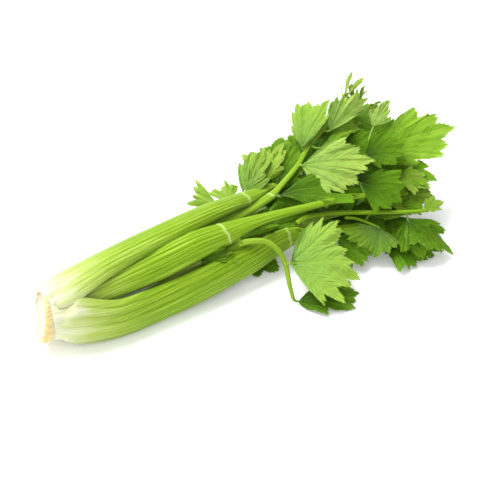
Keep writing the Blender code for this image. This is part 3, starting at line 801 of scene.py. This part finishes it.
def add_sheets(parts, blade):
    """Both faces of the blade, as rings round the base, and the band that joins them along the margin."""
    rings = np.linspace(0, 1, BLADE_RINGS + 1)[1:] ** 0.8
    toothed = soft_step(0.72, 1.0, rings)[:, None]
    reach = rings[:, None] * (blade.plain * (1 - toothed) + blade.toothed * toothed)
    x, y = reach * np.cos(blade.angles), reach * np.sin(blade.angles) * blade.leaf.width
    lobes = np.broadcast_to(blade.lobe, x.shape)
    lift = blade.lift(x, y, blade.angles, rings[:, None], lobes)
    x, y, lift = (np.concatenate([[0.0], values.ravel()]) for values in (x, y, lift))
    off = np.concatenate([[0.0], np.tile(blade.angles - blade.middles[blade.lobe], BLADE_RINGS)])
    columns, count = len(blade.angles), len(x)
    faces = [(0, k + 1, k + 2) for k in range(columns - 1)]
    faces += [tuple(corner + 1 for corner in face) for face in grid_faces(BLADE_RINGS, columns)]
    lower = [tuple(corner + count for corner in reversed(face)) for face in faces]
    starts = [1 + i * columns for i in range(BLADE_RINGS)]
    margin = [0, *starts, *range(starts[-1] + 1, count), *(start + columns - 1 for start in starts[-2::-1])]
    band = [(a, a + count, b + count, b) for a, b in zip(margin, margin[1:] + margin[:1])]
    rim = np.concatenate([[0.0], np.repeat(rings, columns)])
    tone = blade.leaf.tone + 0.10 * rim**2 * (blade.leaf.tone > 0.3)
    far = np.hypot(x, y)
    parts.add(
        np.vstack([blade.lay(x, y, lift, 1), blade.lay(x, y, lift, -1)]),
        faces + lower + band,
        np.tile(far * np.cos(off), 2),
        np.tile(far * np.sin(off), 2),
        tone=np.tile(tone, 2),
        under=np.repeat([1.0, 0.0] if blade.leaf.turned else [0.0, 1.0], count),
        rim=np.tile(rim, 2),
    )


def add_veins(parts, blade):
    for lobe, (middle, farthest) in enumerate(blade.veins):
        run = np.linspace(0, VEIN_END, VEIN_POINTS) * farthest
        x, y = run * np.cos(middle), run * np.sin(middle) * blade.leaf.width
        lift = blade.lift(x, y, np.full(VEIN_POINTS, middle), run / farthest, np.full(VEIN_POINTS, lobe))
        thick = (MIDRIB_RADIUS if abs(middle) < 0.2 else VEIN_RADIUS) * growth(blade.length, 0.5)
        radii = thick * (1 - run / farthest) ** 0.8 + 0.08
        line = blade.lay(x, y, lift - 0.15 * radii / blade.length, 0)
        tube(parts, line, radii, 6, tone=blade.leaf.tone, vein=1.0, under=0.5)


def add_petiolule(parts, blade, stem_path):
    """The leaflet's own little stem, from the nearest point of its stalk."""
    foot = stem_path[np.argmin(np.linalg.norm(stem_path - blade.base, axis=1))]
    gap = np.linalg.norm(blade.base - foot)
    if gap <= 1.0:
        return
    bend = blade.base - blade.along * 0.45 * gap
    t = np.linspace(0, 1, PETIOLULE_POINTS)[:, None]
    line = (1 - t) ** 2 * foot + 2 * t * (1 - t) * bend + t**2 * (blade.base + blade.along * 1.5)
    radii = np.linspace(*PETIOLULE_RADII, PETIOLULE_POINTS) * growth(blade.length, 0.45)
    tube(parts, line, radii, 10, tone=blade.leaf.tone * 0.5 + 0.35, vein=1.0, under=0.5)


def build_leaf(leaf, stem_path, material):
    blade = Blade(leaf)
    parts = Parts("tone", "under", "vein", "rim")
    add_sheets(parts, blade)
    add_veins(parts, blade)
    add_petiolule(parts, blade, stem_path)
    parts.build(leaf.name, "vein", material, packed=not leaf.name.startswith("filler"))


# ---- Butt ----

# (depth behind the cut, radius, roughness) from the middle of the cut face out, over its rim and back in
BUTT_PROFILE = (
    (0.9, 0, 0), (0.8, 3, 0), (0.6, 6, 0), (0.45, 9, 0), (0.35, 12, 0), (0.25, 15, 0), (0.1, 17.2, 0.1),
    (-0.05, 18.7, 0.6), (-0.25, 19.8, 0.9), (-0.1, 20.7, 1), (0.4, 21.3, 1), (1, 21.7, 1), (1.7, 22, 1),
    (2.4, 22.2, 1), (3.1, 22.2, 0.9), (3.8, 22, 0.6), (4.6, 21.8, 0.3), (7, 21.6, 0.1), (11, 21.6, 0),
    (16, 21.4, 0), (22, 20.6, 0), (30, 18, 0), (38, 13, 0), (46, 7, 0), (50, 0.4, 0),
)
# (waves round the rim, their height)
BUTT_WAVES = ((2, 0.5), (3, 0.55), (5, 0.35), (9, 0.22), (23, 0.2), (41, 0.16), (67, 0.12))


def build_butt(material):
    """The cut face with its slight dish, the rough trimmed band round it, and the crown under the stalks."""
    rng = np.random.default_rng(BUTT_SEED)
    turns = 2 * np.pi * np.arange(BUTT_STEPS) / BUTT_STEPS
    wavy = sum(size * np.sin(often * turns + rng.uniform(0, 6)) for often, size in BUTT_WAVES)
    beads = np.abs(np.sin(17 * turns + 0.8 * np.sin(5 * turns)))
    depth, radius, rough = np.array(BUTT_PROFILE).T[..., None]
    jitter = rng.normal(0, 0.16, (len(BUTT_PROFILE), BUTT_STEPS)) * rough
    spread = radius + wavy * np.minimum(1, radius / 20) * (0.3 + rough) * 0.8 + beads * 0.5 * rough + jitter
    y, z = spread * np.cos(turns), spread * np.sin(turns)
    slant = np.maximum(0, 1 - depth / SLANT_DEPTH) * (CUT_SLANT[0] * y + CUT_SLANT[1] * z)
    x = depth + slant + 0.25 * rough * np.sin(29 * turns + depth)
    parts = Parts("bark", "depth")
    parts.add(
        np.stack([x, BUTT_MIDDLE_YZ[0] + y, BUTT_MIDDLE_YZ[1] + z], axis=-1),
        tube_faces(len(BUTT_PROFILE), BUTT_STEPS),
        y / UV_LENGTH,
        z / UV_LENGTH,
        bark=rough,
        depth=soft_step(2.5, 7.0, depth) + soft_step(7, 18, depth),
    )
    parts.build("butt", "disc", material)


# ---- Materials ----


class Nodes:
    """A material's node tree, with short ways to add and join nodes."""

    def __init__(self, name):
        self.material = bpy.data.materials.new(name)
        self.material.use_nodes = True
        self.tree = self.material.node_tree
        self.shader = self.tree.nodes["Principled BSDF"]

    def add(self, kind, **settings):
        node = self.tree.nodes.new(kind)
        for key, value in settings.items():
            setattr(node, key, value)
        return node

    def feed(self, socket, value):
        if isinstance(value, bpy.types.NodeSocket):
            self.tree.links.new(value, socket)
        elif isinstance(value, tuple) and len(value) == 3 and socket.type == "RGBA":
            socket.default_value = (*value, 1.0)
        else:
            socket.default_value = value

    def join(self, node, *values):
        """Feeds the node's sockets in their own order."""
        for socket, value in zip(node.inputs, values):
            self.feed(socket, value)
        return node.outputs[0]

    def fill(self, node, **values):
        """Feeds each socket whose name, in small letters and with underscores, is given."""
        sockets = {socket.name.lower().replace(" ", "_"): socket for socket in node.inputs}
        for name, value in values.items():
            self.feed(sockets[name], value)
        return node

    def shade(self, **values):
        """Sets the shader's own sockets and hands over the material."""
        self.fill(self.shader, **values)
        return self.material

    def maths(self, operation, first, second=0.0, clamp=False):
        return self.join(self.add("ShaderNodeMath", operation=operation, use_clamp=clamp), first, second)

    def plus(self, first, second, clamp=False):
        return self.maths("ADD", first, second, clamp)

    def times(self, first, second, clamp=False):
        return self.maths("MULTIPLY", first, second, clamp)

    def mark(self, name):
        return self.add("ShaderNodeAttribute", attribute_name=name).outputs["Fac"]

    def uv(self, name, scale=(1.0, 1.0, 1.0)):
        source = self.add("ShaderNodeUVMap", uv_map=name).outputs[0]
        return self.fill(self.add("ShaderNodeMapping"), vector=source, scale=scale).outputs[0]

    def noise(self, vector, scale=1.0, detail=3.0, roughness=0.5, output="Fac"):
        node = self.add("ShaderNodeTexNoise")
        return self.fill(node, vector=vector, scale=scale, detail=detail, roughness=roughness).outputs[output]

    def cells(self, vector, scale, feature):
        node = self.add("ShaderNodeTexVoronoi", feature=feature)
        return self.fill(node, vector=vector, scale=scale).outputs["Distance"]

    def spread(self, value, low, high, to_low=0.0, to_high=1.0):
        return self.join(self.add("ShaderNodeMapRange"), value, low, high, to_low, to_high)

    def ramp(self, value, stops):
        node = self.add("ShaderNodeValToRGB")
        elements = node.color_ramp.elements
        while len(elements) < len(stops):
            elements.new(0.5)
        for element, (place, colour) in zip(elements, stops):
            element.position = place
            element.color = (*colour, 1.0)
        return self.fill(node, fac=value).outputs["Color"]

    def mix(self, factor, first, second):
        node = self.add("ShaderNodeMix", data_type="RGBA")
        colours = [socket for socket in node.inputs if socket.type == "RGBA"]
        for socket, value in zip((node.inputs[0], *colours), (factor, first, second)):
            self.feed(socket, value)
        return [socket for socket in node.outputs if socket.type == "RGBA"][0]

    def bump(self, height, distance, strength=1.0):
        node = self.add("ShaderNodeBump")
        return self.fill(node, height=height, distance=distance, strength=strength).outputs["Normal"]


# Stalk colours come in pairs, at the white butt and where the stalk is ripe
STALK_RAMP = (
    (0.0, (0.62, 0.61, 0.5)), (0.16, (0.53, 0.55, 0.34)), (0.4, (0.34, 0.44, 0.07)),
    (0.68, (0.235, 0.36, 0.014)), (1.0, (0.16, 0.3, 0.006)),
)
FIBRE_COLOURS = ((0.68, 0.68, 0.52), (0.36, 0.5, 0.06))
LINE_COLOURS = ((0.64, 0.66, 0.47), (0.36, 0.52, 0.06))
# Groove colours: the grooves partly in the skin's own deeper green and partly painted shade, and painted
# shade along each edge
GROOVE_AND_SHADE_COLOURS = ((0.4, 0.47, 0.15), (0.07, 0.17, 0.003))
HOLLOW_COLOUR = (0.3, 0.43, 0.05)
COLLAR_COLOUR = (0.48, 0.58, 0.2)
FLECK_COLOUR = (0.42, 0.54, 0.12)
HEART_RIPENESS = 0.6


def stalk_material(name, ripest):
    """Stalk skin: white at the butt, then yellow-green to lime, with fibres, grooves darker partly with
    painted shade, and painted shade at each edge.
    """
    make = Nodes(name)
    ripe, groove_and_shade_mark = make.mark("ripe"), make.mark("groove")
    speck = make.uv("stem", (420.0, 160.0, 1.0))
    fibres = make.noise(make.uv("stem", (900.0, 16.0, 1.0)), roughness=0.6)
    bands = make.noise(make.uv("stem", (70.0, 2.2, 1.0)), detail=2.0)
    lines = make.noise(make.uv("stem", (105.0, 1.6, 1.0)), detail=2.0, roughness=0.6)
    patches = make.noise(make.uv("stem", (14.0, 5.0, 1.0)), detail=2.0)
    shifted = make.plus(ripe, make.spread(bands, 0.3, 0.7, -0.08, 0.08))
    shifted = make.plus(shifted, make.spread(patches, 0.3, 0.7, -0.08, 0.08))
    shifted = make.maths("SUBTRACT", shifted, make.times(make.mark("band"), 0.22))
    skin = make.ramp(make.times(shifted, ripest, clamp=True), STALK_RAMP)
    streaks = make.times(make.spread(fibres, 0.35, 0.68), 0.22)
    fibred = make.mix(streaks, skin, make.mix(ripe, *FIBRE_COLOURS))
    pale_lines = make.times(make.spread(lines, 0.53, 0.64, 0.0, 0.55), make.spread(ripe, 0.0, 0.3))
    lined = make.mix(pale_lines, fibred, make.mix(ripe, *LINE_COLOURS))
    # The groove mark darkens the grooves, partly with painted shade, and paints the shade along each edge;
    # the dark lines are the skin's own
    groove = make.maths("MAXIMUM", groove_and_shade_mark, make.spread(lines, 0.36, 0.48, 0.6, 0.0))
    groove = make.times(groove, make.spread(ripe, 0.0, 0.7, 0.3, 0.85))
    grooved = make.mix(groove, lined, make.mix(ripe, *GROOVE_AND_SHADE_COLOURS))
    hollow = make.mix(make.times(make.mark("inner"), 0.35), grooved, HOLLOW_COLOUR)
    collared = make.mix(make.times(make.mark("collar"), 0.8), hollow, COLLAR_COLOUR)
    flecks = make.spread(make.noise(speck, detail=1.0), 0.7, 0.78, 0.0, 0.35)
    lift = make.maths("SUBTRACT", fibres, make.times(groove_and_shade_mark, 0.6))
    lift = make.plus(lift, make.times(make.noise(speck, 0.6, 2.0), 0.35))
    lift = make.plus(lift, make.times(make.spread(lines, 0.35, 0.6), 1.3))
    return make.shade(
        base_color=make.mix(flecks, collared, FLECK_COLOUR),
        roughness=make.spread(fibres, 0.3, 0.7, 0.3, 0.46),
        normal=make.bump(lift, 0.00022, 0.8),
        subsurface_weight=0.18,
        subsurface_radius=(0.9, 1.0, 0.35),
        subsurface_scale=0.004,
        specular_ior_level=0.3,
        specular_tint=(0.7, 1.0, 0.2),
    )


VEIN_WARP = 0.022
LEAF_RAMP = (
    (0.0, (0.008, 0.032, 0.0005)), (0.25, (0.026, 0.092, 0.001)), (0.5, (0.08, 0.195, 0.002)),
    (0.75, (0.17, 0.305, 0.01)), (1.0, (0.3, 0.43, 0.06)),
)
TWIG_RAMP = ((0.0, (0.13, 0.28, 0.012)), (0.5, (0.23, 0.38, 0.03)), (1.0, (0.36, 0.5, 0.1)))
UNDERSIDE_COLOUR = (0.21, 0.335, 0.13)
VEIN_COLOUR = (0.31, 0.53, 0.08)
RIM_COLOUR = (0.36, 0.5, 0.1)


def warped(make, plain):
    """The leaflet's UV map, bent a little so that no vein runs dead straight."""
    bent = make.add("ShaderNodeVectorMath", operation="MULTIPLY_ADD")
    cloud = make.noise(plain, 9.0, 2.0, output="Color")
    return make.join(bent, cloud, (VEIN_WARP, VEIN_WARP, 0.0), plain)


def vein_pattern(make, place):
    """Main vein, side veins and the net between them, 0 to 1, at a place from warped()."""
    split = make.fill(make.add("ShaderNodeSeparateXYZ"), vector=place)
    across = make.maths("SUBTRACT", split.outputs[1], VEIN_WARP / 2)
    off = make.maths("ABSOLUTE", across)
    other_side = make.times(make.maths("GREATER_THAN", across), 0.5)
    rank = make.times(make.maths("SUBTRACT", split.outputs[0], make.times(off, VEIN_SLOPE)), VEINS_ALONG)
    phase = make.maths("FRACT", make.plus(rank, other_side))
    from_line = make.maths("ABSOLUTE", make.maths("SUBTRACT", phase, 0.5))
    second = make.times(make.spread(from_line, 0.03, 0.13, 1.0, 0.0), make.spread(off, 0.0, 0.3, 1.0, 0.45))
    main = make.spread(off, 0.006, 0.022, 1.0, 0.0)
    third = make.spread(make.cells(place, 42.0, "DISTANCE_TO_EDGE"), 0.0, 0.09, 0.3, 0.0)
    return make.maths("MAXIMUM", make.maths("MAXIMUM", main, second), third)


def leaf_material(name):
    """Leaflets: the tone of each from its own mark, branching veins, and a paler matt underside."""
    make = Nodes(name)
    tone, under, vein, rim = (make.mark(mark) for mark in ("tone", "under", "vein", "rim"))
    plain = make.uv("vein")
    veins = vein_pattern(make, warped(make, plain))
    fine = make.noise(plain, 60.0, 2.0)
    # The tone mark: each leaflet's own green, with painted shade in its lowest values
    shade = make.plus(tone, make.spread(make.noise(plain, 5.0), 0.3, 0.7, -0.1, 0.1))
    shade = make.plus(shade, make.spread(fine, 0.3, 0.7, -0.03, 0.03), clamp=True)
    upper = make.ramp(shade, LEAF_RAMP)
    lower = make.mix(make.spread(shade, 0.2, 0.8, 0.32, 0.55), upper, UNDERSIDE_COLOUR)
    blade = make.mix(under, upper, lower)
    vein_colour = make.mix(make.spread(tone, 0.0, 0.7, 0.02, 0.55), blade, VEIN_COLOUR)
    veined = make.mix(make.times(veins, 0.95), blade, vein_colour)
    edged = make.mix(make.spread(rim, 0.965, 1.0, 0.0, 0.3), veined, RIM_COLOUR)
    relief = make.plus(make.times(veins, make.spread(under, 0.0, 1.0, -1.0, 1.0)), make.times(fine, 0.25))
    relief = make.plus(relief, make.times(make.noise(plain, 16.0, 2.0), 1.2))
    return make.shade(
        base_color=make.mix(vein, edged, make.ramp(tone, TWIG_RAMP)),
        roughness=make.plus(make.spread(fine, 0.3, 0.7, 0.33, 0.43), make.times(under, 0.16)),
        normal=make.bump(relief, 0.0007),
        subsurface_weight=0.35,
        subsurface_radius=(0.6, 1.0, 0.15),
        subsurface_scale=0.0015,
        specular_ior_level=0.16,
        specular_tint=(0.5, 1.0, 0.1),
    )


FLESH_RAMP = ((0.3, (0.5, 0.42, 0.33)), (0.55, (0.55, 0.47, 0.37)), (0.8, (0.59, 0.52, 0.43)))
TAN_RAMP = ((0.25, (0.46, 0.32, 0.09)), (0.5, (0.7, 0.55, 0.22)), (0.75, (0.8, 0.69, 0.38)))
DOT_COLOUR = (0.62, 0.46, 0.22)
CROWN_COLOURS = ((0.62, 0.61, 0.45), (0.68, 0.67, 0.52))
SEAM_COLOUR = (0.36, 0.44, 0.05)


def butt_material(name):
    """Cut face: cream with a faint pink, dots of the cut veins, and a rough tan band round it."""
    make = Nodes(name)
    bark, depth = make.mark("bark"), make.mark("depth")
    disc = make.uv("disc")
    length = make.add("ShaderNodeVectorMath", operation="LENGTH")
    make.feed(length.inputs[0], disc)
    radius = length.outputs["Value"]
    ring = make.times(make.spread(radius, 0.09, 0.12), make.spread(radius, 0.19, 0.21, 1.0, 0.0))
    dots = make.times(make.spread(make.cells(disc, 34.0, "F1"), 0.1, 0.32, 1.0, 0.0), ring)
    cloud = make.noise(disc, 14.0, 4.0, 0.6)
    grain = make.noise(disc, 110.0, 3.0, 0.65)
    dotted = make.mix(make.times(dots, 0.7), make.ramp(cloud, FLESH_RAMP), DOT_COLOUR)
    banded = make.mix(make.spread(bark, 0.1, 0.75), dotted, make.ramp(grain, TAN_RAMP))
    crown = make.mix(make.spread(depth, 1.2, 2.0), make.mix(cloud, *CROWN_COLOURS), SEAM_COLOUR)
    lift = make.plus(make.times(grain, make.spread(bark, 0.0, 1.0, 0.35, 1.3)), dots)
    return make.shade(
        base_color=make.mix(make.spread(depth, 0.0, 1.0), banded, crown),
        roughness=make.spread(grain, 0.3, 0.7, 0.5, 0.75),
        normal=make.bump(lift, 0.0006, 0.9),
        subsurface_weight=0.25,
        subsurface_radius=(1.0, 0.8, 0.5),
        subsurface_scale=0.003,
    )


def floor_material():
    make = Nodes("studio_white")
    spot = make.add("ShaderNodeTexCoord").outputs["Object"]
    tint = make.spread(make.noise(spot, 3.0, 2.0), 0.3, 0.7)
    return make.shade(
        base_color=make.mix(tint, (0.93, 0.93, 0.93), (0.95, 0.95, 0.95)),
        roughness=0.9,
        specular_ior_level=0.1,
        # The floor glows faintly: painted light that keeps its shadows pale and lights the bunch from below
        emission_color=(1.0, 1.0, 1.0),
        emission_strength=0.17,
    )


# ---- Studio ----


def build_floor():
    mesh = bpy.data.meshes.new("studio_floor")
    corners = [(x * FLOOR_HALF, y * FLOOR_HALF, 0) for x, y in ((-1, -1), (1, -1), (1, 1), (-1, 1))]
    mesh.from_pydata(corners, [], [(0, 1, 2, 3)])
    mesh.materials.append(floor_material())
    floor = bpy.data.objects.new("studio_floor", mesh)
    bpy.context.scene.collection.objects.link(floor)


def aim(thing, place, target):
    """Puts a camera or light at place, upright and looking at target."""
    back = unit(np.array(place, float) - np.array(target, float))
    right = unit(np.cross((0, 0, 1), back))
    turn = Matrix((right, np.cross(back, right), back)).transposed().to_4x4()
    turn.translation = place
    thing.matrix_world = turn


def add_light(name, place, size, power):
    lamp = bpy.data.lights.new(name, "AREA")
    lamp.shape = "SQUARE"
    lamp.size = size
    lamp.energy = power
    light = bpy.data.objects.new(name, lamp)
    bpy.context.scene.collection.objects.link(light)
    aim(light, place, LIGHT_TARGET)


def build_light():
    """White sky, dimmer for the light it casts than for the camera, with two soft area lights."""
    scene = bpy.context.scene
    scene.view_settings.view_transform = "Standard"
    world = bpy.data.worlds.new("studio")
    world.use_nodes = True
    sky = world.node_tree.nodes["Background"]
    sky.inputs["Color"].default_value = (1.0, 1.0, 1.0, 1.0)
    rays = world.node_tree.nodes.new("ShaderNodeLightPath")
    seen = world.node_tree.nodes.new("ShaderNodeMapRange")
    seen.inputs["To Min"].default_value = SKY_STRENGTH
    world.node_tree.links.new(rays.outputs["Is Camera Ray"], seen.inputs["Value"])
    world.node_tree.links.new(seen.outputs[0], sky.inputs["Strength"])
    scene.world = world
    add_light("key", (-0.45, 0.6, 1.6), 1.3, 55.0)
    add_light("fill", (-0.9, -1.1, 1.3), 1.6, 14.0)


def build_camera():
    around, above = math.radians(CAMERA_AROUND), math.radians(CAMERA_UP)
    level = math.cos(above)
    back = np.array([math.sin(around) * level, -math.cos(around) * level, math.sin(above)])
    lens = bpy.data.cameras.new("camera")
    lens.lens = CAMERA_LENS
    lens.sensor_width = CAMERA_SENSOR
    camera = bpy.data.objects.new("camera", lens)
    bpy.context.scene.collection.objects.link(camera)
    aim(camera, to_row(CAMERA_TARGET + back * CAMERA_DISTANCE), to_row(CAMERA_TARGET))
    bpy.context.scene.camera = camera


def main():
    materials = {
        "stalk_skin": stalk_material("stalk_skin", 1.0),
        "heart_skin": stalk_material("heart_skin", HEART_RIPENESS),
        "leaf_green": leaf_material("leaf_green"),
        "heart_green": leaf_material("heart_green"),
        "butt_flesh": butt_material("butt_flesh"),
    }
    paths = {}
    for stem in STALKS:
        slot = "heart_skin" if stem.name.startswith("heart") else "stalk_skin"
        paths[stem.name] = smooth_path(stem.path, 1.0)[0]
        build_stem(stem, materials[slot])
    for leaf in LEAVES:
        slot = "heart_green" if leaf.name.startswith("heart") else "leaf_green"
        build_leaf(leaf, paths[leaf.stem], materials[slot])
    build_butt(materials["butt_flesh"])
    build_floor()
    build_light()
    build_camera()
    bpy.context.view_layer.update()


main()
